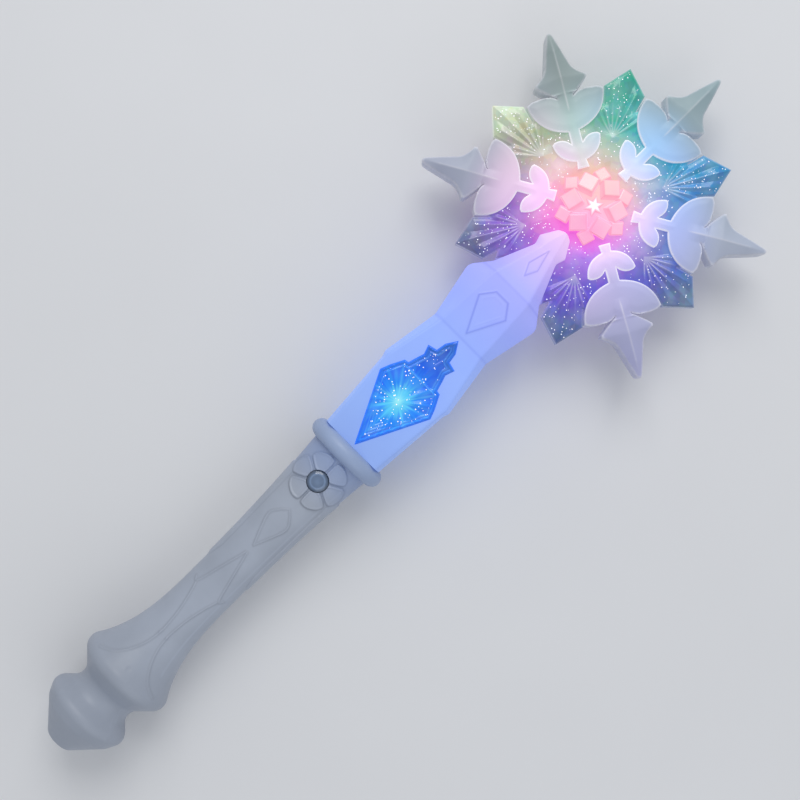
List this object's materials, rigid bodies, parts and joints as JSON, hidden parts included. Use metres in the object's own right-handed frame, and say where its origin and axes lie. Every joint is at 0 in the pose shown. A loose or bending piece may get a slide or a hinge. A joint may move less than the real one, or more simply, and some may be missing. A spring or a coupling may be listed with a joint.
{
  "type": "toy magic wand",
  "caption": "Light-up toy wand with a turned grip, push button, milky shaft with a blue gem window, and a clear snowflake head with white branches.",
  "frame": {"origin": "middle of the bounding box at its base, under the wand as it lies on its back", "axes": "+Y along the wand from the pommel to the snowflake, +Z out of the face with the button and gem, +X to the right"},
  "size_m": [0.1318, 0.4, 0.0435],
  "materials": {
    "handle_silver": "satin silver-blue, moulded",
    "collar_pearl": "pearl blue, polished",
    "button_clear": "tinted clear dome",
    "shaft_milky": "milky, lit from inside",
    "gem_blue": "clear blue with glitter",
    "flake_glitter": "clear with glitter",
    "rosette_clear": "clear, polished facets",
    "branch_white": "milky white, satin",
    "screw_steel": "zinc plated",
    "contact_steel": "nickel plated",
    "tray_plastic": "natural, moulded",
    "cell_sleeve": "plain printed sleeve",
    "board_green": "solder mask",
    "chip_black": "black, moulded",
    "ball_brass": "plated",
    "cone_paper": "pressed paper",
    "magnet_ferrite": "zinc cup",
    "led_lens": "water clear epoxy",
    "lead_red": "soft insulation",
    "lead_black": "soft insulation",
    "lead_gray": "soft insulation",
    "lead_white": "soft insulation"
  },
  "bodies": {
    "wand": {"handle_front": "handle_silver", "handle_rear": "handle_silver", "collar_ring": "collar_pearl", "battery_tray": "tray_plastic", "battery_lower": "cell_sleeve", "battery_upper": "cell_sleeve", "spring_plate": "contact_steel", "contact_spring": "contact_steel", "end_contact": "contact_steel", "circuit_board": "board_green", "switch_case": "chip_black", "sound_chip": "chip_black", "motion_can": "contact_steel", "speaker_frame": "chip_black", "speaker_cone": "cone_paper", "speaker_magnet": "magnet_ferrite", "handle_screws": "screw_steel", "battery_lead_red": "lead_red", "battery_lead_black": "lead_black", "speaker_lead": "lead_gray", "light_lead": "lead_white", "hub_lead": "lead_white", "shaft_front": "shaft_milky", "shaft_rear": "shaft_milky", "gem_window": "gem_blue", "gem_board": "board_green", "gem_led": "led_lens", "shaft_screws": "screw_steel", "flake_front": "flake_glitter", "flake_rear": "flake_glitter", "rosette_front": "rosette_clear", "rosette_rear": "rosette_clear", "hub_board": "board_green", "hub_led_front": "led_lens", "hub_led_rear": "led_lens", "branch_front_1": "branch_white", "branch_front_2": "branch_white", "branch_front_3": "branch_white", "branch_front_4": "branch_white", "branch_front_5": "branch_white", "branch_rear_1": "branch_white", "branch_rear_2": "branch_white", "branch_rear_3": "branch_white", "branch_rear_4": "branch_white", "branch_rear_5": "branch_white"},
    "button": {"power_button": "button_clear", "switch_stem": "chip_black"},
    "door": {"battery_door": "handle_silver", "door_screw": "screw_steel"},
    "ball": {"motion_ball": "ball_brass"}
  },
  "joints": [
    {"name": "button_press", "type": "slide", "parent": "wand", "child": "button", "axis": [0, 0, -1], "range_m": [0, 0.001], "stiffness_N_per_m": 1200},
    {"name": "battery_door_swing", "type": "hinge", "parent": "wand", "child": "door", "pos_m": [0, -0.14, 0.00855], "axis": [-1, 0, 0], "range_deg": [0, 40]},
    {"name": "motion_ball_roll", "type": "slide", "parent": "wand", "child": "ball", "axis": [0, 1, 0], "range_m": [0, 0.006]}
  ]
}
